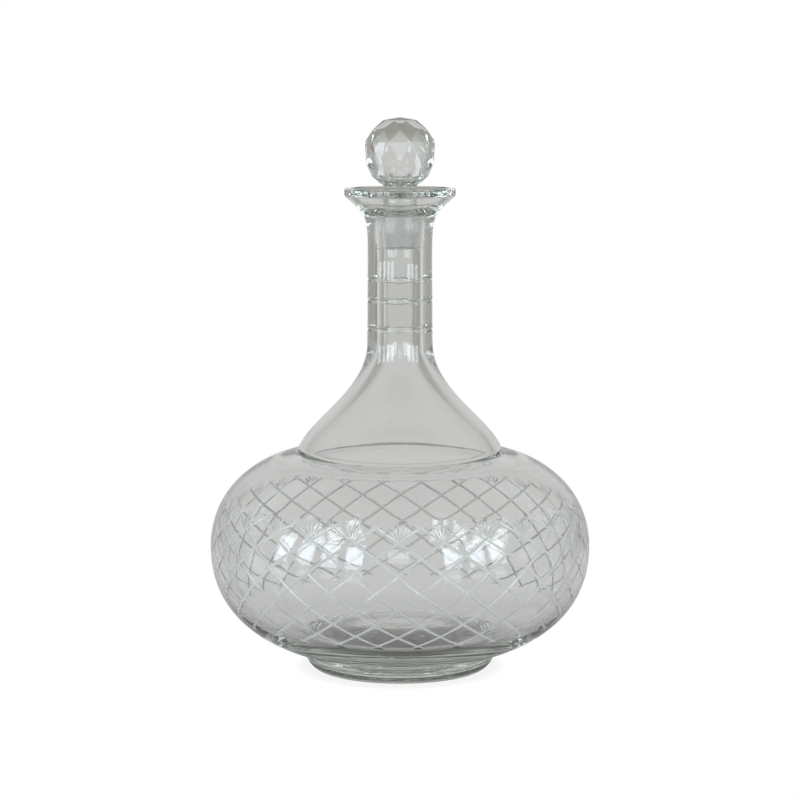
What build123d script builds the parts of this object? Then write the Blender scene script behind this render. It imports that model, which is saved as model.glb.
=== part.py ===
from build123d import *

import os
from math import cos, radians, sin

# Cut glass wine decanter with a ground stopper, in millimetres.
# The origin is the centre of the resting plane and +Z runs up the axis of the bottle.
# Outlines are drawn in the XZ plane, with X as the radius, and turned about Z.

# Foot, a separate gather of glass under the bowl
foot_radius = 47.3
foot_height = 7.0
foot_edge_width = 5.3           # width of the rolled edge, from the widest part in to the ring
foot_edge_rise = 5.8            # height at which the foot is widest
foot_edge_belly = 0.9           # how far the rolled edge has come in at a third of that height
foot_ring_width = 5.0           # flat ring that touches the table
foot_recess = 1.6               # rise of the hollowed underside at its centre
seam_step = 0.8                 # the seam with the bowl lies this far inside the foot
seam_slope_width = 2.0          # short slope that lifts the bowl off the foot
seam_slope_rise = 1.6
seam_round = 0.6

# Bowl
bowl_radius = 95.1
belly_height = 54.9             # from the top of the foot to where the bowl is widest
underside_angle = 15.8          # slope of the underside where it leaves the seam, degrees
underside_fullness = 0.51       # how long the belly curve runs upright, as part of its rise
underside_reach = 0.665         # how far the underside runs nearly straight, as part of its width
shoulder_height = 47.2          # from where the bowl is widest to the crease
shoulder_angle = 8.4            # slope of the shoulder where it meets the crease, degrees
shoulder_fullness = 0.54
shoulder_reach = 0.56
crease_radius = 51.8            # sharp crease between the bowl and the cone
crease_round = 0.8
inner_crease_round = 3.0        # the crease is softer on the inside

# Cone and neck
cone_height = 54.9
cone_foot_angle = 71.8          # slope of the cone at the crease, degrees
cone_foot_run = 17.2            # how far that slope holds
cone_top_fullness = 0.445       # how long the top of the cone runs upright, as part of its rise
neck_radius = 16.3
collar_radius = 16.05           # the neck thins a little towards the collar, where it starts to flare
neck_length = 76.7              # from the top of the cone to the rim
flare_length = 32.7             # from the collar to the rim
ring_places = (0.16, 0.48, 0.72)    # cut rings, as shares of the plain neck below the collar
ring_width = 1.9
ring_depth = 0.5

# Flared lip
rim_radius = 27.65
rim_edge_height = 3.6           # height of the upright edge of the lip
rim_bevel = 0.75                # the underside meets that edge this far in
rim_top_width = 2.6             # flat top of the lip
rim_round = 1.2
flare_angle = 41.5              # slope of the underside of the lip, degrees
flare_upright = 20.4            # how far up the flare keeps close to the neck
flare_reach = 13.3              # how far in from the rim the slope of the underside holds
funnel_angle = 50.0             # slope of the inside of the lip at the rim, degrees
funnel_reach = 7.0
funnel_floor_reach = 8.0

# Glass thickness
belly_wall = 4.6
shoulder_wall = 2.4             # the glass is thinnest where the shoulder meets the cone
cone_wall = 5.0
base_wall = 8.5                 # glass between the foot and the wine
floor_reach = 0.83              # how far the floor of the bowl stays level, as part of its width
floor_fullness = 0.69           # how long the inside of the belly runs upright

# Ground joint between the neck and the stopper
bore_radius = 7.5
throat_depth = 12.0             # the top of the ground socket lies this far under the rim
socket_length = 17.5
socket_taper = 1 / 20           # change of radius per millimetre, a 1 in 10 taper
ground_gap = 0.05
throat_round = 0.6

# Stopper
ball_radius = 18.2
ball_gap = 2.2                  # the lowest corners of the ball lie this far above the rim
ball_sides = 10
ball_rings = (63.0, 41.0, 17.8, -15.3, -40.0, -56.5)    # latitudes of the cut corners, degrees
ball_crown = 0.97               # height of the top corner, as part of the ball's radius
shank_flare = 1.2               # the shank widens by this much, over this height, under the ball
plug_chamfer = 0.5

# Places that follow from the sizes
rest_radius = foot_radius - foot_edge_width
seam_radius = foot_radius - seam_step
widest_height = foot_height + belly_height
crease_height = widest_height + shoulder_height
neck_height = crease_height + cone_height
rim_height = neck_height + neck_length
collar_height = rim_height - flare_length
throat_height = rim_height - throat_depth
socket_foot_height = throat_height - socket_length
socket_top_radius = bore_radius + socket_length * socket_taper
plug_foot_radius = bore_radius - ground_gap
plug_top_radius = socket_top_radius - ground_gap
ball_height = rim_height + ball_gap - ball_radius * sin(radians(ball_rings[-1]))

os.makedirs("parts", exist_ok=True)


def step_from(point, angle, run):
    """The point that lies run away from point, at angle degrees above the horizontal."""
    return (point[0] + run * cos(radians(angle)), point[1] + run * sin(radians(angle)))


def belly_curve(base, base_angle, reach, fullness, widest):
    """Lower half of the bowl, from its base out and up to where it is widest."""
    Bezier(
        base,
        step_from(base, base_angle, reach * (widest[0] - base[0])),
        (widest[0], widest[1] - fullness * (widest[1] - base[1])),
        widest,
    )


def shoulder_curve(widest, crease):
    """Upper half of the bowl, from where it is widest up and in to the crease."""
    rise = crease[1] - widest[1]
    shoulder_run = shoulder_reach * (widest[0] - crease[0])
    Bezier(
        widest,
        (widest[0], widest[1] + shoulder_fullness * rise),
        step_from(crease, -shoulder_angle, shoulder_run),
        crease,
    )


def cone_curve(crease, neck):
    """The cone, which bulges out of the crease and then hollows into the upright neck."""
    rise = neck[1] - crease[1]
    Bezier(
        crease,
        step_from(crease, 180 - cone_foot_angle, cone_foot_run),
        (neck[0], neck[1] - cone_top_fullness * rise),
        neck,
    )


def make_foot():
    """Round foot with a rolled edge, resting on a flat ring around a hollowed underside."""
    ring_inner = rest_radius - foot_ring_width
    with BuildPart() as foot:
        with BuildSketch(Plane.XZ):
            with BuildLine():
                Line((rest_radius, 0), (ring_inner, 0))
                Bezier((ring_inner, 0), (ring_inner / 2, foot_recess), (0, foot_recess))
                Polyline(
                    (0, foot_recess),
                    (0, foot_height),
                    (seam_radius, foot_height),
                    (foot_radius, foot_edge_rise),
                )
                Bezier(
                    (foot_radius, foot_edge_rise),
                    (foot_radius - foot_edge_belly, foot_edge_rise / 3),
                    (rest_radius + foot_edge_belly, 0),
                    (rest_radius, 0),
                )
            make_face()
        revolve(axis=Axis.Z)
    return foot


def make_vessel():
    """Bowl, cone, neck and flared lip, blown as one wall of glass and open at the lip."""
    base_edge = (seam_radius + seam_slope_width, foot_height + seam_slope_rise)
    outer_widest = (bowl_radius, widest_height)
    outer_crease = (crease_radius, crease_height)
    outer_neck = (neck_radius, neck_height)
    flare_edge = (rim_radius - rim_bevel, rim_height - rim_edge_height - rim_bevel)

    inner_rim = (rim_radius - rim_top_width, rim_height)
    throat = (socket_top_radius, throat_height)
    inner_neck = (bore_radius, neck_height)
    inner_crease = (crease_radius - cone_wall, crease_height - shoulder_wall)
    inner_widest = (bowl_radius - belly_wall, widest_height)
    inner_base = (0, foot_height + base_wall)

    rounded_corners = [
        (base_edge, seam_round),
        (outer_crease, crease_round),
        (flare_edge, rim_round),
        ((rim_radius, rim_height), rim_round),
        (inner_rim, rim_round),
        (throat, throat_round),
        (inner_crease, inner_crease_round),
    ]
    ring_cut_radius = (ring_width**2 / 4 + ring_depth**2) / (2 * ring_depth)
    ring_cut_centre = neck_radius + ring_cut_radius - ring_depth
    plain_neck = collar_height - neck_height

    with BuildPart() as vessel:
        with BuildSketch(Plane.XZ) as outline:
            with BuildLine():
                Polyline((0, foot_height), (seam_radius, foot_height), base_edge)
                belly_curve(base_edge, underside_angle, underside_reach, underside_fullness, outer_widest)
                shoulder_curve(outer_widest, outer_crease)
                cone_curve(outer_crease, outer_neck)
                Line(outer_neck, (collar_radius, collar_height))
                Bezier(
                    (collar_radius, collar_height),
                    (collar_radius, collar_height + flare_upright),
                    step_from(flare_edge, 180 + flare_angle, flare_reach),
                    flare_edge,
                )
                Polyline(
                    flare_edge,
                    (rim_radius, rim_height - rim_edge_height),
                    (rim_radius, rim_height),
                    inner_rim,
                )
                Bezier(
                    inner_rim,
                    step_from(inner_rim, 180 + funnel_angle, funnel_reach),
                    (throat[0] + funnel_floor_reach, throat[1]),
                    throat,
                )
                Polyline(throat, (bore_radius, socket_foot_height), inner_neck)
                cone_curve(inner_crease, inner_neck)
                shoulder_curve(inner_widest, inner_crease)
                belly_curve(inner_base, 0, floor_reach, floor_fullness, inner_widest)
                Line(inner_base, (0, foot_height))
            make_face()
            for corner, radius in rounded_corners:
                fillet(outline.vertices().sort_by_distance(corner)[0], radius)
        revolve(axis=Axis.Z)
        with BuildSketch(Plane.XZ):
            with Locations(*[(ring_cut_centre, neck_height + plain_neck * place) for place in ring_places]):
                Circle(ring_cut_radius)
        revolve(axis=Axis.Z, mode=Mode.SUBTRACT)
    return vessel


def ball_corners():
    """Rings of corners of the cut ball, each ring turned half a step from the one before."""
    step = 360 / ball_sides
    rings = []
    for number, latitude in enumerate(ball_rings):
        reach = ball_radius * cos(radians(latitude))
        height = ball_height + ball_radius * sin(radians(latitude))
        turn = step / 2 * (number % 2)
        angles = [radians(turn + step * side) for side in range(ball_sides)]
        rings.append([Vector(reach * cos(angle), reach * sin(angle), height) for angle in angles])
    return rings


def make_ball():
    """Cut ball: a fan of facets at the crown, then bands of alternating triangles."""
    rings = ball_corners()
    crown = Vector(0, 0, ball_height + ball_radius * ball_crown)
    corners = []
    for side in range(ball_sides):
        corners.append((crown, rings[0][side - 1], rings[0][side]))
    for number in range(len(rings) - 1):
        upper, lower = rings[number], rings[number + 1]
        lead = 1 - number % 2
        for side in range(ball_sides):
            corners.append((upper[side - 1], lower[side - lead], upper[side]))
            corners.append((lower[side - 1], lower[side], upper[side - 1 + lead]))
    facets = [Face(Wire.make_polygon(points)) for points in corners]
    facets.append(Face(Wire.make_polygon(rings[-1])))
    return Solid(Shell(facets))


def make_stopper():
    """Cut ball on a plain shank, with a tapered plug ground to fit the socket in the neck."""
    shank_top = ball_corners()[-1][0].Z
    with BuildPart() as stopper:
        add(make_ball())
        with BuildSketch(Plane.XZ):
            with BuildLine():
                Polyline(
                    (0, socket_foot_height),
                    (plug_foot_radius - plug_chamfer, socket_foot_height),
                    (plug_foot_radius, socket_foot_height + plug_chamfer),
                    (plug_top_radius, throat_height),
                    (plug_top_radius, shank_top - shank_flare),
                    (plug_top_radius + shank_flare, shank_top),
                    (0, shank_top),
                    close=True,
                )
            make_face()
        revolve(axis=Axis.Z)
    return stopper


pieces = {"foot": make_foot(), "vessel": make_vessel(), "stopper": make_stopper()}

for name, piece in pieces.items():
    piece.part.label = name
    export_step(piece.part, f"parts/{name}.step")
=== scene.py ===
import math
import random

import bmesh
import bpy
import numpy as np
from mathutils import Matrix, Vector


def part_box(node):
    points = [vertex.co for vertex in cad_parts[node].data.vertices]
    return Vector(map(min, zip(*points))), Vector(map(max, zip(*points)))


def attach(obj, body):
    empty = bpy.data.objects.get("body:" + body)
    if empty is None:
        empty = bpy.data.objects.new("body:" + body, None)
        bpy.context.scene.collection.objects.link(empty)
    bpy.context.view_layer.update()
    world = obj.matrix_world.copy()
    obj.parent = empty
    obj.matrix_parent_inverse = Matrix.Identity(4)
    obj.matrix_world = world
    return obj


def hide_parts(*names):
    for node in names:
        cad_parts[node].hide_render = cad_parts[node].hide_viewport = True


# Cut glass wine decanter. Outlines are lists of (radius, height) in millimetres, which meshes turn to
# metres. An angle round the bottle is measured from the front (-Y) towards the right (+X).
MM = 0.001

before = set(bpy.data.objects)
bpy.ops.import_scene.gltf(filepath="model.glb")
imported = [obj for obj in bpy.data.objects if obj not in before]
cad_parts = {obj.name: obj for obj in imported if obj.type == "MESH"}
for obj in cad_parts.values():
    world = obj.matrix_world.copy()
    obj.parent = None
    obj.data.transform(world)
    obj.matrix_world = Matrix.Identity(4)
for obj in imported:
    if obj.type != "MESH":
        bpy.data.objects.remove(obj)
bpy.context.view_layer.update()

foot_low, foot_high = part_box("foot")
vessel_low, vessel_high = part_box("vessel")
stopper_low, stopper_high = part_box("stopper")

# Sizes that come from the frame
foot_radius = foot_high.x / MM
foot_height = foot_high.z / MM
bowl_radius = vessel_high.x / MM
rim_height = vessel_high.z / MM
socket_foot_height = stopper_low.z / MM
crown_height = stopper_high.z / MM

# Foot
foot_edge_width = 5.3
foot_edge_rise = 5.8
foot_edge_belly = 0.9
foot_ring_width = 5.0
foot_recess = 1.6
hollow_flat = 0.4               # curve handle in the middle of the hollow, as a share of its width
hollow_reach = 0.7              # curve handle at its edge, as a share of its width
seam_step = 0.8
seam_round = 0.5
seam_slope_width = 2.0
seam_slope_rise = 1.6

# Bowl, cone and neck
widest_height = foot_height + 54.9
underside_angle = 15.8
underside_fullness = 0.51
underside_reach = 0.665
crease_radius = 51.8
crease_height = widest_height + 47.2
crease_round = 0.8
inner_crease_round = 3.0
bowl_points = 600               # points of the outline below the widest, and the same above it
shoulder_angle = 8.4
shoulder_fullness = 0.54
shoulder_reach = 0.56
neck_height = crease_height + 54.9
neck_radius = 16.3
collar_radius = 16.05
collar_height = rim_height - 32.7
cone_foot_angle = 71.8
cone_foot_run = 17.2
cone_top_fullness = 0.445
ring_places = (0.16, 0.48, 0.72)
ring_width = 1.6
ring_depth = 0.4
ring_wave = 0.5                 # how far the hand-cut rings stray up and down
wave_counts = (3, 7, 12)        # waves in one turn round the neck
ring_reach = 0.51               # share of a ring's width, each side of its middle, that strays with it
neck_outside = collar_radius - 1  # a point further out than this is on the outside of the neck

# Flared lip
rim_radius = 27.65
rim_edge_height = 3.6
rim_bevel = 0.75
rim_top_width = 2.6
rim_round = 1.2
rim_foot_round = 0.9
flare_angle = 41.5
flare_upright = 20.4
flare_reach = 13.3
funnel_angle = 50.0
funnel_reach = 7.0
funnel_floor_reach = 3.0

# Glass thickness and the ground joint
belly_wall = 4.6
shoulder_wall = 2.4
cone_wall = 5.0
base_wall = 8.5
corner_wall = 6.4               # where the side turns into the floor
corner_radius = 62.0
corner_reach = 14.0
floor_flat = 0.5                # curve handle in the middle of the floor, as a share of its radius
inner_step = 30                 # the inside takes every thirtieth point of the outline
bore_radius = 7.5
throat_height = rim_height - 12.0
socket_top_radius = bore_radius + (throat_height - socket_foot_height) / 20
throat_round = 0.6
ground_gap = 0.05
chip_width = 0.2                # the ragged line where the grinding of the socket ends
chip_depth = 0.14
chip_step = 0.01                # the ground socket ends this far outside the bore
chip_ragged = 0.3

# Lattice cut into the shoulder: two families of grooves that cross in rows
pitches = 27
lattice_turn = math.radians(-7.3)
row_heights = (85.4, 79.0, 71.65, 63.75, 55.0, 46.25, 39.0, 32.5, 27.5)
groove_share = 0.057            # half the width of a groove, as a share of the groove spacing
groove_depth = 0.3
cells = 10                      # mesh cells from one groove to the next
overrun = 3                     # mesh cells by which the grooves run past their last crossing
groove_sway = 0.022             # how far a hand-cut groove is off its mark, in groove spacings
groove_strength = (0.8, 1.15)   # least and most depth of a groove, as a share of groove_depth
fade_lead, fade_run = 0.22, 0.4  # where a groove runs out past its last crossing, in rows
row_curve = 5                   # order of the smooth curve that is fitted to the rows
margins = (3.2, 3.6)            # from the outermost rows of crossings to the plain rings, below and above
margin_rows = 14

# Fans of leaf-shaped cuts between the peaks of the lattice
fan_angles = (-38, -19, 0, 19, 38)
fan_lengths = (6.0, 7.6, 8.8, 7.6, 6.0)
fan_start = 2.0
leaf_half_width = 0.62
leaf_depth = 0.38
leaf_point = 0.85               # below 1 makes the ends of a leaf rounder
leaf_end = 0.02                 # share of the width and depth that is left at its very ends
fan_sway = 2                    # degrees by which a leaf is off its mark
leaf_lengths = (0.92, 1.08)     # least and most length of a leaf, as a share of its own

# Seeds of the random draws
bottle_seed = 27
stopper_seed = 11

# Stopper
ball_radius = 18.2
ball_sides = 10
ball_rings = (63.0, 41.0, 17.8, -15.3, -40.0, -56.5)
crown_share = 0.97              # how far the top of the ball is above its middle, as a share of its radius
ball_height = crown_height - crown_share * ball_radius
shank_flare = 1.2
plug_chamfer = 0.5
ground_rise = 4.2               # the ground band of the plug shows this far above the socket
ground_step = 0.1
ground_ragged = 0.28
facet_bevel = 0.22
facet_crease = 8                # only edges sharper than this many degrees are bevelled
shank_ease = (0.35, 0.45)       # middle of the flare, out from the shank and down from the ball

# Smooth shading breaks at creases sharper than this many degrees
bottle_crease = 16
stopper_crease = 14


# ---------------------------------------------------------------- outlines

def step_from(point, angle, run):
    """The point run away from point, at angle degrees above the horizontal."""
    return (point[0] + run * math.cos(math.radians(angle)), point[1] + run * math.sin(math.radians(angle)))


def bezier(first, second, third, last, count):
    """Points along a cubic curve, with both its ends."""
    t = np.linspace(0, 1, count + 1)[:, None]
    a, b, c, d = (np.array(p, float) for p in (first, second, third, last))
    return (1 - t) ** 3 * a + 3 * (1 - t) ** 2 * t * b + 3 * (1 - t) * t**2 * c + t**3 * d


def line(first, last, count):
    return np.linspace(first, last, count + 1)


def rounded(before, after, radius, count=5):
    """Joins two runs of points that meet at a corner, with the corner rounded off."""
    def cut(run):
        gaps = np.linalg.norm(np.diff(run, axis=0), axis=1)
        along = np.concatenate([[0], np.cumsum(gaps)])
        start = np.array([np.interp(radius, along, run[:, i]) for i in (0, 1)])
        return np.vstack([start, run[along > radius * 1.05]])

    head = cut(before[::-1])[::-1]
    tail = cut(after)
    corner = before[-1]
    t = np.linspace(0, 1, count + 1)[1:-1, None]
    bend = (1 - t) ** 2 * head[-1] + 2 * t * (1 - t) * corner + t**2 * tail[0]
    return np.vstack([head, bend, tail])


def belly(base, angle, reach, fullness, widest, count):
    run = reach * (widest[0] - base[0])
    upright = (widest[0], widest[1] - fullness * (widest[1] - base[1]))
    return bezier(base, step_from(base, angle, run), upright, widest, count)


def shoulder(widest, crease, count):
    upright = (widest[0], widest[1] + shoulder_fullness * (crease[1] - widest[1]))
    run = shoulder_reach * (widest[0] - crease[0])
    return bezier(widest, upright, step_from(crease, -shoulder_angle, run), crease, count)


def cone(crease, neck, count):
    upright = (neck[0], neck[1] - cone_top_fullness * (neck[1] - crease[1]))
    return bezier(crease, step_from(crease, 180 - cone_foot_angle, cone_foot_run), upright, neck, count)


def foot_outline():
    """From the axis over the hollowed underside, the resting ring and the rolled edge to the bowl."""
    rest = foot_radius - foot_edge_width
    ring_inner = rest - foot_ring_width
    seam = (foot_radius - seam_step, foot_height)
    edge = (foot_radius, foot_edge_rise)
    deep = (ring_inner * hollow_flat, foot_recess)
    hollow = bezier((0, foot_recess), deep, (ring_inner * hollow_reach, 0), (ring_inner, 0), 9)
    upright = (foot_radius - foot_edge_belly, foot_edge_rise / 3)
    roll = bezier((rest, 0), (rest + foot_edge_belly, 0), upright, edge, 9)
    slope = (seam[0] + seam_slope_width, seam[1] + seam_slope_rise)
    up = rounded(roll, line(edge, seam, 1), seam_round, 3)
    ring = line((ring_inner, 0), (rest, 0), 1)
    return np.vstack([hollow, ring[1:], up[1:], line(seam, slope, 2)[1:]])


def bowl_outline():
    """The whole outside of the bowl as a fine run of points, from the seam slope to the crease."""
    base = (foot_radius - seam_step + seam_slope_width, foot_height + seam_slope_rise)
    widest = (bowl_radius, widest_height)
    lower = belly(base, underside_angle, underside_reach, underside_fullness, widest, bowl_points)
    upper = shoulder(widest, (crease_radius, crease_height), bowl_points)
    return np.vstack([lower, upper[1:]])


def inner_bowl():
    """The inside of the bowl, from the crease down to the axis. It follows the outside until the floor."""
    outside = bowl_outline()
    slope = np.gradient(outside, axis=0)
    slope /= np.linalg.norm(slope, axis=1)[:, None]
    inward = np.stack([-slope[:, 1], slope[:, 0]], axis=-1)
    share = np.linspace(0, 1, len(outside) // 2)
    lower_wall = belly_wall + (corner_wall - belly_wall) * (1 - share) ** 2
    upper_wall = np.linspace(belly_wall, shoulder_wall, len(outside) - len(share))
    inside = outside + np.concatenate([lower_wall, upper_wall])[:, None] * inward
    side = inside[inside[:, 0] > corner_radius][::-inner_step]
    floor = (0, foot_height + base_wall)
    level = (corner_radius * floor_flat, floor[1])
    corner = side[-1]
    toward = (side[-2] - corner) / np.linalg.norm(side[-2] - corner)
    bottom = bezier(corner, corner - corner_reach * toward, level, floor, 12)
    return np.vstack([side, bottom[1:]])


def neck_outline():
    """Outside of the cone, the neck with its three cut rings, and the flare up to the rim."""
    crease = (crease_radius, crease_height)
    neck = (neck_radius, neck_height)
    runs = [cone(crease, neck, 26)]
    plain = collar_height - neck_height
    last = neck_height
    for place in ring_places:
        height = neck_height + plain * place
        radius = neck_radius + (collar_radius - neck_radius) * place
        low, high = height - ring_width / 2, height + ring_width / 2
        runs.append(line((radius, last), (radius, low), 2)[1:])
        for share in (0.25, 0.5, 0.75):
            dip = ring_depth * (1 - (2 * share - 1) ** 2)
            runs.append(np.array([(radius - dip, low + share * ring_width)]))
        runs.append(np.array([(radius, high)]))
        last = high
    collar = (collar_radius, collar_height)
    runs.append(line((collar_radius, last), collar, 2)[1:])
    edge = (rim_radius - rim_bevel, rim_height - rim_edge_height - rim_bevel)
    upright = (collar_radius, collar_height + flare_upright)
    runs.append(bezier(collar, upright, step_from(edge, 180 + flare_angle, flare_reach), edge, 16)[1:])
    return np.vstack(runs)


def wall_outline(shoulder_rows):
    """From the cut shoulder up over the neck and the rim, and down the inside to the axis."""
    rim_foot = (rim_radius, rim_height - rim_edge_height)
    rim_top = (rim_radius, rim_height)
    inner_rim = (rim_radius - rim_top_width, rim_height)
    throat = (socket_top_radius, throat_height)
    socket_foot = (bore_radius, socket_foot_height)
    slant = math.radians(shoulder_angle)
    drop = shoulder_wall / math.cos(slant) - cone_wall * math.tan(slant)
    crease = (crease_radius - cone_wall, crease_height - drop)
    funnel_floor = (throat[0] + funnel_floor_reach, throat[1])
    funnel_top = step_from(inner_rim, 180 + funnel_angle, funnel_reach)
    funnel = bezier(inner_rim, funnel_top, funnel_floor, throat, 14)
    ground_end = (bore_radius + chip_step, socket_foot_height + chip_width)
    chip = [(bore_radius + chip_depth, socket_foot_height), (bore_radius, socket_foot_height - chip_width)]
    bore = line(socket_foot, (bore_radius, neck_height), 7)
    inner_cone = cone(crease, (bore_radius, neck_height), 22)[::-1]

    run = rounded(shoulder_rows, neck_outline(), crease_round, 4)
    run = np.vstack([run, [rim_foot]])
    run = rounded(run, line(rim_foot, rim_top, 3), rim_foot_round, 3)
    run = rounded(run, line(rim_top, inner_rim, 2), rim_round, 5)
    run = rounded(run, funnel, rim_round, 5)
    run = rounded(run, line(throat, ground_end, 8), throat_round, 4)
    run = np.vstack([run, chip, bore[1:], inner_cone[1:]])
    return rounded(run, np.vstack([[crease], inner_bowl()]), inner_crease_round, 7)


# ---------------------------------------------------------------- materials

glass_ior = 1.52
glass_colour = (0.997, 0.999, 0.998, 1)
absorb_colour = (0.46, 0.53, 0.41, 1)
absorb_density = 4.4


def glass(name, clear, rough_low, rough_high, rough_scale, bumps, stretch=1.0):
    """Glass with a faint green body. bumps are (scale, depth in metres) of its surface unevenness.

    clear is the share of light that goes through rather than being scattered white by the surface.
    stretch draws the unevenness out along the axis of the bottle.
    """
    material = bpy.data.materials.new(name)
    material.use_nodes = True
    nodes, links = material.node_tree.nodes, material.node_tree.links
    nodes.clear()
    output = nodes.new("ShaderNodeOutputMaterial")
    shader = nodes.new("ShaderNodeBsdfPrincipled")
    shader.inputs["Base Color"].default_value = glass_colour
    shader.inputs["IOR"].default_value = glass_ior
    shader.inputs["Transmission Weight"].default_value = clear
    links.new(shader.outputs["BSDF"], output.inputs["Surface"])
    place = nodes.new("ShaderNodeTexCoord")
    drawn = nodes.new("ShaderNodeMapping")
    drawn.inputs["Scale"].default_value = (1, 1, 1 / stretch)
    links.new(place.outputs["Object"], drawn.inputs["Vector"])
    smears = nodes.new("ShaderNodeTexNoise")
    smears.inputs["Scale"].default_value = rough_scale
    smears.inputs["Detail"].default_value = 3.0
    links.new(drawn.outputs["Vector"], smears.inputs["Vector"])
    spread = nodes.new("ShaderNodeMapRange")
    spread.inputs["From Min"].default_value = 0.35
    spread.inputs["From Max"].default_value = 0.75
    spread.inputs["To Min"].default_value = rough_low
    spread.inputs["To Max"].default_value = rough_high
    links.new(smears.outputs["Fac"], spread.inputs["Value"])
    links.new(spread.outputs["Result"], shader.inputs["Roughness"])
    normal = None
    for scale, depth in bumps:
        noise = nodes.new("ShaderNodeTexNoise")
        noise.inputs["Scale"].default_value = scale
        noise.inputs["Detail"].default_value = 2.0
        links.new(drawn.outputs["Vector"], noise.inputs["Vector"])
        bump = nodes.new("ShaderNodeBump")
        bump.inputs["Strength"].default_value = 1.0
        bump.inputs["Distance"].default_value = depth
        links.new(noise.outputs["Fac"], bump.inputs["Height"])
        if normal:
            links.new(normal, bump.inputs["Normal"])
        normal = bump.outputs["Normal"]
    links.new(normal, shader.inputs["Normal"])
    body = nodes.new("ShaderNodeVolumeAbsorption")
    body.inputs["Color"].default_value = absorb_colour
    body.inputs["Density"].default_value = absorb_density
    links.new(body.outputs["Volume"], output.inputs["Volume"])
    return material


CLEAR, GROUND, CUT, DRAWN = 0, 1, 2, 3
glasses = [
    glass("clear_glass", 1.0, 0.0, 0.012, 45, [(14, 0.00012), (60, 0.000012)]),
    glass("ground_glass", 0.8, 0.02, 0.12, 500, [(1200, 0.00014)], 4.0),
    glass("matte_cut_glass", 0.68, 0.14, 0.24, 300, [(1400, 0.000008)]),
    glass("drawn_glass", 1.0, 0.0, 0.015, 200, [(200, 0.000025)], 9.0),
]


# ---------------------------------------------------------------- bottle mesh

class Surface:
    """Where a point of the outside of the bowl lies, from its angle and its distance along the outline."""

    def __init__(self, outline):
        gaps = np.linalg.norm(np.diff(outline, axis=0), axis=1)
        self.along = np.concatenate([[0], np.cumsum(gaps)])
        self.radius, self.height = outline[:, 0], outline[:, 1]
        slope = np.gradient(outline, self.along, axis=0)
        slope /= np.linalg.norm(slope, axis=1)[:, None]
        self.normal_radius, self.normal_height = slope[:, 1], -slope[:, 0]

    def at_height(self, height):
        return np.interp(height, self.height, self.along)

    def point(self, angle, along, lift=0.0):
        """The point in space, in millimetres, raised by lift off the glass."""
        radius = np.interp(along, self.along, self.radius)
        height = np.interp(along, self.along, self.height)
        radius = radius + lift * np.interp(along, self.along, self.normal_radius)
        height = height + lift * np.interp(along, self.along, self.normal_height)
        return np.stack([radius * np.sin(angle), -radius * np.cos(angle), height], axis=-1)


def neck_ring(radius, height):
    """Number of the cut neck ring that a point of the outline belongs to, or None."""
    plain = collar_height - neck_height
    for number, place in enumerate(ring_places):
        away = abs(height - neck_height - plain * place)
        if radius > neck_outside and away < ring_width * ring_reach:
            return number


def uneven(chance, count, most):
    """A hand-made wobble round a ring, one number for each of its points."""
    rough = np.array([chance.uniform(-most, most) for _ in range(count)])
    return (rough + np.roll(rough, 1) + np.roll(rough, 2)) / 2


def wave(chance, count, most):
    """A slow hand-made wave round a ring, one number for each of its points."""
    turn = np.linspace(0, 2 * math.pi, count, endpoint=False)
    waves = [np.sin(times * turn + chance.uniform(0, 2 * math.pi)) for times in wave_counts]
    return most * sum(waves) / len(waves)


def ring_points(angles, outline):
    """One ring of points for each point of an outline."""
    rings = []
    for radius, height in outline:
        level = np.full(len(angles), height)
        rings.append(np.stack([radius * np.sin(angles), -radius * np.cos(angles), level], axis=-1))
    return rings


def lattice_rings(surface, chance):
    """Rings of points over the cut shoulder, on a grid that runs along both families of grooves.

    A grid line is a whole number of cells, so grooves lie where the number is a multiple of cells.
    A ring's number is how far the second family is ahead of the first, in cells.
    """
    shares = [0, groove_share]
    shares += [groove_share + (1 - 2 * groove_share) * k / (cells - 2) for k in range(1, cells - 2)]
    shares += [1 - groove_share]
    shares = np.array(shares)
    total = pitches * cells

    def draws(low, high):
        """One random number for each groove of the two families."""
        return {side: np.array([chance.uniform(low, high) for _ in range(pitches)]) for side in "ab"}

    sway = draws(-groove_sway, groove_sway)
    strength = draws(*groove_strength)

    def place(number, side):
        """Place of a grid line in groove spacings, with each hand-cut groove a little off its mark."""
        whole, part = number // cells, shares[number % cells]
        near = sway[side][whole % pitches]
        far = sway[side][(whole + 1) % pitches]
        return whole + part + near * (1 - part) + far * part

    def depth(number, side):
        whole, part = number // cells, shares[number % cells]
        near = np.clip(1 - part / groove_share, 0, 1) * strength[side][whole % pitches]
        far = np.clip(1 - (1 - part) / groove_share, 0, 1) * strength[side][(whole + 1) % pitches]
        return groove_depth * np.maximum(near, far)

    rows = np.arange(len(row_heights))
    fit = np.polyfit(rows, surface.at_height(row_heights), row_curve)
    pitch = 2 * math.pi / pitches
    first = np.arange(total)
    angles, rings = [], []
    last_row = len(row_heights) - 1
    for ahead in range(-overrun, last_row * cells + overrun + 1):
        a, b = place(first, "a"), place(first + ahead, "b")
        row = b - a
        angle = lattice_turn + pitch * (a + b) / 2
        fade_in = np.clip((row + fade_lead) / fade_run, 0, 1)
        fade = fade_in * np.clip((last_row + fade_lead - row) / fade_run, 0, 1)
        cut = np.maximum(depth(first, "a"), depth(first + ahead, "b")) * fade
        angles.append(angle)
        rings.append(surface.point(angle, np.polyval(fit, row), -cut))
    return angles, rings


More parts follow.
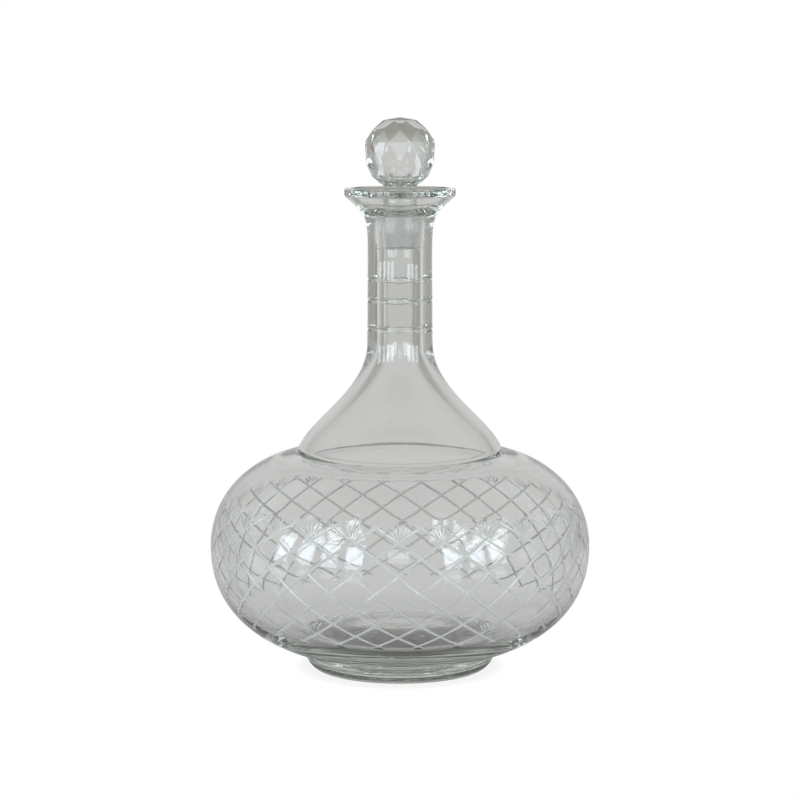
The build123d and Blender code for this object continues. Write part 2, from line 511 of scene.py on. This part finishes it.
def leaf_cutter(surface, angle, along, bearing, length, vertices, faces):
    """A boat-shaped cutter that leaves one leaf of a fan. bearing is measured from straight up."""
    stations = 12
    lift = 0.25
    base = len(vertices)
    across = bearing + math.pi / 2
    radius = np.interp(along, surface.along, surface.radius)
    rows = []
    for k in range(stations + 1):
        share = k / stations
        belly_share = math.sin(math.pi * share) ** leaf_point + leaf_end
        run = fan_start + share * length
        keel = leaf_depth * belly_share
        half = leaf_half_width * belly_share * (1 + lift / leaf_depth)
        row = []
        for side, height in ((-half, lift), (half, lift), (0, -keel)):
            sideways = run * math.sin(bearing) + side * math.sin(across)
            upward = run * math.cos(bearing) + side * math.cos(across)
            row.append(surface.point(angle + sideways / radius, along + upward, height))
        rows.append(row)
    vertices.extend(point for row in rows for point in row)
    for k in range(stations):
        for side in range(3):
            one, two = base + 3 * k + side, base + 3 * k + (side + 1) % 3
            faces.append((one, two, two + 3, one + 3))
    faces.append((base + 2, base + 1, base))
    last = base + 3 * stations
    faces.append((last, last + 1, last + 2))


def fan_cutters(surface, chance):
    vertices, faces = [], []
    pitch = 2 * math.pi / pitches
    along = surface.at_height(row_heights[1])
    for k in range(pitches):
        angle = lattice_turn + pitch * (k + 0.5)
        for bearing, length in zip(fan_angles, fan_lengths):
            turn = math.radians(bearing + chance.uniform(-fan_sway, fan_sway))
            run = length * chance.uniform(*leaf_lengths)
            leaf_cutter(surface, angle, along, turn, run, vertices, faces)
    return mesh_object("fan_cutters", vertices, faces, glasses, [CUT] * len(faces))


def mesh_object(name, vertices, faces, slots, marks=None):
    """A mesh object from points in millimetres. marks gives the number of each face's material."""
    mesh = bpy.data.meshes.new(name)
    mesh.from_pydata([tuple(float(x) * MM for x in v) for v in vertices], [], faces)
    for material in slots:
        mesh.materials.append(material)
    if marks is not None:
        mesh.polygons.foreach_set("material_index", marks)
    mesh.validate()
    piece = bpy.data.objects.new(name, mesh)
    bpy.context.scene.collection.objects.link(piece)
    make = bmesh.new()
    make.from_mesh(mesh)
    bmesh.ops.recalc_face_normals(make, faces=make.faces)
    make.to_mesh(mesh)
    make.free()
    return piece


def plain_band(start, rings, count):
    """Quads between rings that lie one above the other. start is the number of the first point."""
    faces = []
    for ring in range(rings - 1):
        low, high = start + ring * count, start + (ring + 1) * count
        for k in range(count):
            after = (k + 1) % count
            faces.append((low + k, low + after, high + after, high + k))
    return faces


def lattice_band(start, rings, count):
    """Quads along the grooves. A crossing's quads are split along the creases of the two grooves."""
    faces, marks = [], []

    def index(column, ring):
        return start + ring * count + column % count

    for ring in range(rings):
        ahead = ring - overrun
        inside = 0 < ring < rings - 1
        for k in range(count):
            before = len(faces)
            left, right = index(k, ring), index(k + 1, ring)
            column, level = k % cells, (k + ahead) % cells
            if inside:
                low, high = index(k + 1, ring - 1), index(k, ring + 1)
                at_low = column in (0, cells - 1) and level in (0, cells - 1)
                if at_low and column == level:
                    faces += [(left, low, right), (left, right, high)]
                elif at_low:
                    faces += [(left, low, high), (low, right, high)]
                else:
                    faces.append((left, low, right, high))
            elif ring == 0:
                faces.append((left, right, index(k, 1)))
            else:
                faces.append((left, index(k + 1, ring - 1), right))
            cut = inside and (column in (0, cells - 1) or level in (0, cells - 1))
            marks += [CUT if cut else CLEAR] * (len(faces) - before)
    return faces, marks


def make_bottle():
    """The whole bottle as one closed wall of glass: foot, cut bowl, cone, neck, lip and inside."""
    chance = random.Random(bottle_seed)
    surface = Surface(bowl_outline())
    angles, lattice = lattice_rings(surface, chance)
    count = pitches * cells
    low_rows = np.linspace(surface.at_height(row_heights[-1]) - margins[0], 0, margin_rows)
    high_start = surface.at_height(row_heights[0]) + margins[1]
    high_rows = np.linspace(high_start, surface.along[-1], margin_rows)

    def bowl_line(rows):
        radius = np.interp(rows, surface.along, surface.radius)
        return np.stack([radius, np.interp(rows, surface.along, surface.height)], axis=-1)

    above = wall_outline(bowl_line(high_rows))
    below = np.vstack([bowl_line(low_rows), foot_outline()[::-1][1:]])

    # The lattice rings run downwards. The rings above it are added first, from the inside out.
    inner_rings = ring_points(angles[0], above[:-1])
    ragged = uneven(chance, count, chip_ragged)
    waves = [wave(chance, count, ring_wave) for _ in ring_places]
    for ring, (radius, height) in zip(inner_rings, above):
        number = neck_ring(radius, height)
        if number is not None:
            ring[:, 2] += waves[number]
        if radius < socket_top_radius and abs(height - socket_foot_height) < 2 * chip_width:
            ring[:, 2] += ragged
    rings = inner_rings[::-1] + lattice + ring_points(angles[-1], below[:-1])
    vertices = np.vstack(rings)
    poles = [(0, 0, above[-1][1]), (0, 0, below[-1][1])]
    total = len(vertices)
    faces = plain_band(0, len(above), count)
    first = (len(above) - 1) * count
    band, band_marks = lattice_band(first, len(lattice), count)
    before = len(faces)
    faces += band + plain_band(first + (len(lattice) - 1) * count, len(below), count)
    faces += [(k, (k + 1) % count, total) for k in range(count)]
    last = total - count
    faces += [(last + k, last + (k + 1) % count, total + 1) for k in range(count)]
    marks = [CLEAR] * before + band_marks
    marks += [CLEAR] * (len(faces) - len(marks))
    bottle = mesh_object("bottle_glass", list(vertices) + poles, faces, glasses, marks)
    cut_away(bottle, fan_cutters(surface, chance))
    return bottle


def cut_away(piece, cutter):
    """Takes the cutter's shape out of piece and removes the cutter."""
    cut = piece.modifiers.new("cut", "BOOLEAN")
    cut.operation = "DIFFERENCE"
    cut.solver = "EXACT"
    cut.object = cutter
    bpy.context.view_layer.update()
    depsgraph = bpy.context.evaluated_depsgraph_get()
    done = bpy.data.meshes.new_from_object(piece.evaluated_get(depsgraph))
    piece.modifiers.clear()
    piece.data = done
    bpy.data.objects.remove(cutter)


# ---------------------------------------------------------------- stopper mesh

def ball_rows():
    """The rings of corners of the cut ball, from the top, each half a step round from the last."""
    step = 2 * math.pi / ball_sides
    rows = []
    for number, latitude in enumerate(ball_rings):
        reach = ball_radius * math.cos(math.radians(latitude))
        height = ball_height + ball_radius * math.sin(math.radians(latitude))
        angles = [step * (side + number % 2 / 2 + 0.5) for side in range(ball_sides)]
        rows.append([(reach * math.sin(a), -reach * math.cos(a), height) for a in angles])
    return rows


def make_stopper():
    """Cut ball, plain shank and ground plug as one closed solid of glass."""
    chance = random.Random(stopper_seed)
    rows = ball_rows()
    vertices = [(0, 0, crown_height)] + [corner for row in rows for corner in row]
    faces = [(0, 1 + side, 1 + (side + 1) % ball_sides) for side in range(ball_sides)]
    for number in range(len(rows) - 1):
        upper, lower = 1 + number * ball_sides, 1 + (number + 1) * ball_sides
        for side in range(ball_sides):
            after = (side + 1) % ball_sides
            tip, top = (after, side) if number % 2 else (side, after)
            faces.append((upper + side, lower + tip, upper + after))
            faces.append((lower + side, lower + after, upper + top))

    # The shank hangs from the flat underside of the ball.
    per_side = 9
    columns = ball_sides * per_side
    under = rows[-1][0][2]
    shank = socket_top_radius - ground_gap
    plug = bore_radius - ground_gap
    ground_top = throat_height + ground_rise
    start = len(vertices)
    outline = np.vstack([
        [(shank + shank_flare, under)],
        [(shank + shank_ease[0], under - shank_ease[1]), (shank, under - shank_flare)],
        line((shank, under - shank_flare - 1.0), (shank, ground_top + 0.2), 2),
        [(shank + ground_step, ground_top - 0.1), (shank + ground_step, throat_height + 1.0)],
        line((shank, throat_height), (plug, socket_foot_height + plug_chamfer), 9),
        [(plug - plug_chamfer, socket_foot_height), (plug / 2, socket_foot_height)],
    ])
    step = 2 * math.pi / columns
    rings = ring_points(step * np.arange(columns), outline)
    ragged = uneven(chance, columns, ground_ragged)
    for ring in rings[5:7]:     # the two rings at the upper edge of the ground band
        ring[:, 2] += ragged
    vertices += [tuple(point) for ring in rings for point in ring] + [(0, 0, socket_foot_height)]
    faces += plain_band(start, len(rings), columns)
    last = start + (len(rings) - 1) * columns
    faces += [(last + k, last + (k + 1) % columns, last + columns) for k in range(columns)]
    corner = start - ball_sides
    for side in range(ball_sides):
        arc = [start + (per_side * (side + 1) + k) % columns for k in range(per_side + 1)]
        faces.append((corner + side, corner + (side + 1) % ball_sides, *arc[::-1]))

    stopper = mesh_object("stopper_glass", vertices, faces, glasses)
    make = bmesh.new()
    make.from_mesh(stopper.data)
    make.verts.index_update()
    crease = math.radians(facet_crease)
    level = (under - 0.01) * MM
    edges = [e for e in make.edges if e.verts[0].co.z > level and e.verts[1].co.z > level]
    edges = [e for e in edges if e.calc_face_angle() > crease and e.verts[0].index < start > e.verts[1].index]
    bmesh.ops.bevel(make, geom=edges, offset=facet_bevel * MM, segments=1, affect="EDGES")
    make.to_mesh(stopper.data)
    make.free()
    return stopper


def shade(piece, angle):
    """Smooth shading, broken where two faces meet at more than angle degrees."""
    piece.data.shade_smooth()
    piece.data.set_sharp_from_angle(angle=math.radians(angle))


# ---------------------------------------------------------------- pieces

def refinish(piece, finish, touches):
    """Gives another finish to the faces whose centre touches, as (radius, height) in mm."""
    for face in piece.data.polygons:
        centre = face.center / MM
        if touches(math.hypot(centre.x, centre.y), centre.z):
            face.material_index = finish


# How near a face has to be to count as part of the bore, the socket or the band on the plug
touch = 0.3
socket_touch = 0.02
band_touch = 0.2


def in_bore(radius, height):
    return radius < bore_radius + touch and neck_height < height < socket_foot_height - 1


def in_socket(radius, height):
    return radius < socket_top_radius + socket_touch and socket_foot_height < height < throat_height - touch


def on_ground_band(radius, height):
    top = throat_height + ground_rise
    outside = radius > plug_face_radius(height) - band_touch
    return outside and socket_foot_height + touch < height < top


def plug_face_radius(height):
    """Radius of the plug at a height, which stops growing at the throat."""
    share = (min(height, throat_height) - socket_foot_height) / (throat_height - socket_foot_height)
    return bore_radius + share * (socket_top_radius - bore_radius) - ground_gap


bottle = make_bottle()
shade(bottle, bottle_crease)
refinish(bottle, GROUND, in_socket)
refinish(bottle, DRAWN, in_bore)
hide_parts("vessel", "foot")
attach(bottle, "bottle")

stopper = make_stopper()
shade(stopper, stopper_crease)
refinish(stopper, GROUND, on_ground_band)
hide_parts("stopper")
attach(stopper, "stopper")


# ---------------------------------------------------------------- studio

# The room that the glass sees
backdrop = (0.625, 0.625, 0.615)        # behind the bottle
room_side = (0.40, 0.405, 0.39)         # to the left and right
camera_side = (0.30, 0.30, 0.295)
ceiling = (0.27, 0.28, 0.265)
table_side = (0.34, 0.35, 0.31)         # below the edge of the floor
curtain = (0.30, 0.235, 0.19)           # something brown behind the bottle on the right
room_clutter = (0.26, 0.27, 0.25)
clutter_scale = 4.5
clutter_share = 0.4
matt_light = 0.7                        # light that reaches the ground and cut parts

# Where one colour turns into the next, along one part of a direction of length 1
side_edges = (0.68, 0.96)
camera_edges = (0.1, -0.7)
ceiling_edges = (0.35, 0.9)
table_edges = (-0.24, -0.45)
clutter_edges = (0.44, 0.58)
clear_edges = (0.93, 0.80)              # nothing clutters the room straight behind the bottle

# Soft patches of the room: azimuth and elevation, the reach of the full colour and of its edge, colour
room_patches = [
    (144, -6, 1.5, 5, curtain),
    (-128, 35, 8, 20, (0.40, 0.42, 0.39)),
    (128, 40, 10, 22, (0.38, 0.40, 0.37)),
    (84, 2, 4, 10, (1.0, 1.04, 1.08)),
    (-96, -8, 5, 12, (0.9, 0.93, 0.95)),
    (0, -50, 15, 40, (0.42, 0.42, 0.40)),
]

# Windows, each a column of two panes. A pane is elevation, height and watts per square metre.
window_columns = (-74, -58, -42, -27, 31, 46, 60)
window_colour = (0.79, 0.91, 1.0)
window_distance = 2.0
pane_width = 0.35
top_pane = (11, 0.85, 17)
foot_pane = (-18, 0.70, 6)

# Floor, in metres
floor_half = 0.3
floor_sink = 0.0003
floor_front, floor_back = 0.36, 0.62    # its light as the glass sees it
floor_edges = (-0.15, 0.2)              # between these two places
# Painted shade under the bottle: there the floor's light, as the glass sees it, drops to this share
painted_shade_share = 0.16                      # share of that under the bottle
painted_shade_middle = (0, -0.02, 0)
painted_shade_edges = (0.035, 0.075)
contact_reach = 0.01
contact_edges = (0.35, 0.95)
contact_shadow = 0.9

# Camera, in metres
camera_place = (0, -1.300, 0.2988)
camera_aim = (0, 0, 0.135)
camera_lens = 117.9


def map_range(nodes, links, value, low, high, to_low=0.0, to_high=1.0):
    """A smooth step of a value, as a socket."""
    step = nodes.new("ShaderNodeMapRange")
    step.interpolation_type = "SMOOTHSTEP"
    step.inputs["From Min"].default_value = low
    step.inputs["From Max"].default_value = high
    step.inputs["To Min"].default_value = to_low
    step.inputs["To Max"].default_value = to_high
    links.new(value, step.inputs["Value"])
    return step.outputs["Result"]


def by_ray(nodes, links, others, seen):
    """One shader for the camera, a soft white for the light on matt parts, and another for all other rays."""
    path = nodes.new("ShaderNodeLightPath")
    white = nodes.new("ShaderNodeEmission")
    white.inputs["Strength"].default_value = matt_light
    shader = others
    for share, other in (("Diffuse Depth", white.outputs["Emission"]), ("Is Camera Ray", seen)):
        mix = nodes.new("ShaderNodeMixShader")
        links.new(path.outputs[share], mix.inputs["Fac"])
        links.new(shader, mix.inputs[1])
        links.new(other, mix.inputs[2])
        shader = mix.outputs["Shader"]
    return shader


def make_world():
    """White to the camera. The glass sees a soft grey room that is darker on the camera's side."""
    world = bpy.data.worlds.new("studio")
    bpy.context.scene.world = world
    world.use_nodes = True
    nodes, links = world.node_tree.nodes, world.node_tree.links
    nodes.clear()
    place = nodes.new("ShaderNodeTexCoord").outputs["Generated"]
    split = nodes.new("ShaderNodeSeparateXYZ")
    links.new(place, split.inputs["Vector"])
    y, z = split.outputs["Y"], split.outputs["Z"]

    def blend(colour, other, share):
        mix = nodes.new("ShaderNodeMix")
        mix.data_type = "RGBA"
        links.new(share, mix.inputs["Factor"])
        if isinstance(colour, tuple):
            mix.inputs["A"].default_value = (*colour, 1)
        else:
            links.new(colour, mix.inputs["A"])
        mix.inputs["B"].default_value = (*other, 1)
        return mix.outputs["Result"]

    def toward(azimuth, elevation, inner, outer):
        """How near a direction is to the middle of a round patch, both of its reaches in degrees."""
        turn, rise = math.radians(azimuth), math.radians(elevation)
        dot = nodes.new("ShaderNodeVectorMath")
        dot.operation = "DOT_PRODUCT"
        links.new(place, dot.inputs[0])
        flat = math.cos(rise)
        dot.inputs[1].default_value = (flat * math.sin(turn), -flat * math.cos(turn), math.sin(rise))
        edges = [math.cos(math.radians(angle)) for angle in (outer, inner)]
        return map_range(nodes, links, dot.outputs["Value"], *edges)

    colour = blend(room_side, backdrop, map_range(nodes, links, y, *side_edges))
    colour = blend(colour, camera_side, map_range(nodes, links, y, *camera_edges))
    colour = blend(colour, ceiling, map_range(nodes, links, z, *ceiling_edges))
    colour = blend(colour, table_side, map_range(nodes, links, z, *table_edges))
    clutter = nodes.new("ShaderNodeTexNoise")
    clutter.inputs["Scale"].default_value = clutter_scale
    clutter.inputs["Detail"].default_value = 2.0
    links.new(place, clutter.inputs["Vector"])
    dark = nodes.new("ShaderNodeMath")
    dark.operation = "MULTIPLY"
    amount = map_range(nodes, links, clutter.outputs["Fac"], *clutter_edges, 0.0, clutter_share)
    links.new(amount, dark.inputs[0])
    links.new(map_range(nodes, links, y, *clear_edges), dark.inputs[1])
    colour = blend(colour, room_clutter, dark.outputs["Value"])
    for azimuth, elevation, inner, outer, other in room_patches:
        colour = blend(colour, other, toward(azimuth, elevation, inner, outer))
    room = nodes.new("ShaderNodeBackground")
    links.new(colour, room.inputs["Color"])
    sky = nodes.new("ShaderNodeBackground")
    sky.inputs["Color"].default_value = (1, 1, 1, 1)
    output = nodes.new("ShaderNodeOutputWorld")
    shader = by_ray(nodes, links, room.outputs["Background"], sky.outputs["Background"])
    links.new(shader, output.inputs["Surface"])


def make_floor():
    """A pale floor. The camera sees it white with a painted shadow at the foot; the glass sees it grey with
    painted shade under it.
    """
    mesh = bpy.data.meshes.new("floor")
    half = floor_half
    corners = [(-half, -half, 0), (half, -half, 0), (half, half, 0), (-half, half, 0)]
    mesh.from_pydata(corners, [], [(0, 1, 2, 3)])
    floor = bpy.data.objects.new("floor", mesh)
    bpy.context.scene.collection.objects.link(floor)
    floor.location.z = -floor_sink
    material = bpy.data.materials.new("pale_floor")
    material.use_nodes = True
    nodes, links = material.node_tree.nodes, material.node_tree.links
    nodes.clear()
    near = nodes.new("ShaderNodeAmbientOcclusion")
    near.inputs["Distance"].default_value = contact_reach
    seen = nodes.new("ShaderNodeEmission")
    contact = map_range(nodes, links, near.outputs["AO"], *contact_edges, contact_shadow)
    links.new(contact, seen.inputs["Strength"])
    place = nodes.new("ShaderNodeTexCoord")
    split = nodes.new("ShaderNodeSeparateXYZ")
    links.new(place.outputs["Object"], split.inputs["Vector"])
    away = nodes.new("ShaderNodeVectorMath")
    away.operation = "DISTANCE"
    away.inputs[1].default_value = painted_shade_middle
    links.new(place.outputs["Object"], away.inputs[0])
    strength = nodes.new("ShaderNodeMath")
    strength.operation = "MULTIPLY"
    back = map_range(nodes, links, split.outputs["Y"], *floor_edges, floor_front, floor_back)
    links.new(back, strength.inputs[0])
    # Painted shade: the floor that the glass sees is darker round the spot under the bottle
    under = map_range(nodes, links, away.outputs["Value"], *painted_shade_edges, painted_shade_share)
    links.new(under, strength.inputs[1])
    lit = nodes.new("ShaderNodeEmission")
    links.new(strength.outputs["Value"], lit.inputs["Strength"])
    output = nodes.new("ShaderNodeOutputMaterial")
    shader = by_ray(nodes, links, lit.outputs["Emission"], seen.outputs["Emission"])
    links.new(shader, output.inputs["Surface"])
    mesh.materials.append(material)


def make_panel(name, azimuth, elevation, distance, width, height, power_density):
    """One pane of a window. azimuth is measured from the front, towards the right."""
    light = bpy.data.lights.new(name, "AREA")
    light.shape = "RECTANGLE"
    light.size, light.size_y = width, height
    light.energy = power_density * width * height
    light.color = window_colour
    panel = bpy.data.objects.new(name, light)
    bpy.context.scene.collection.objects.link(panel)
    flat = distance * math.cos(math.radians(elevation))
    turn = math.radians(azimuth)
    target = Vector((0, 0, 0.1))
    rise = distance * math.sin(math.radians(elevation))
    panel.location = target + Vector((flat * math.sin(turn), -flat * math.cos(turn), rise))
    panel.rotation_euler = (panel.location - target).to_track_quat("Z", "Y").to_euler()
    panel.visible_camera = False


def make_camera():
    data = bpy.data.cameras.new("camera")
    data.lens = camera_lens
    data.sensor_width = 36
    data.clip_start = 0.01
    camera = bpy.data.objects.new("camera", data)
    bpy.context.scene.collection.objects.link(camera)
    camera.location = camera_place
    camera.rotation_euler = (camera.location - Vector(camera_aim)).to_track_quat("Z", "Y").to_euler()
    bpy.context.scene.camera = camera


make_world()
make_floor()
for column, azimuth in enumerate(window_columns):
    for name, (elevation, height, power_density) in (("top", top_pane), ("foot", foot_pane)):
        pane = f"window_{name}_{column}"
        make_panel(pane, azimuth, elevation, window_distance, pane_width, height, power_density)
make_panel("window_middle", -1, 13, 2.4, 0.5, 0.5, 7)
make_camera()
scene = bpy.context.scene
scene.view_settings.view_transform = "Standard"
scene.cycles.max_bounces = 40
scene.cycles.transmission_bounces = 40
scene.cycles.glossy_bounces = 24
scene.cycles.sample_clamp_indirect = 6
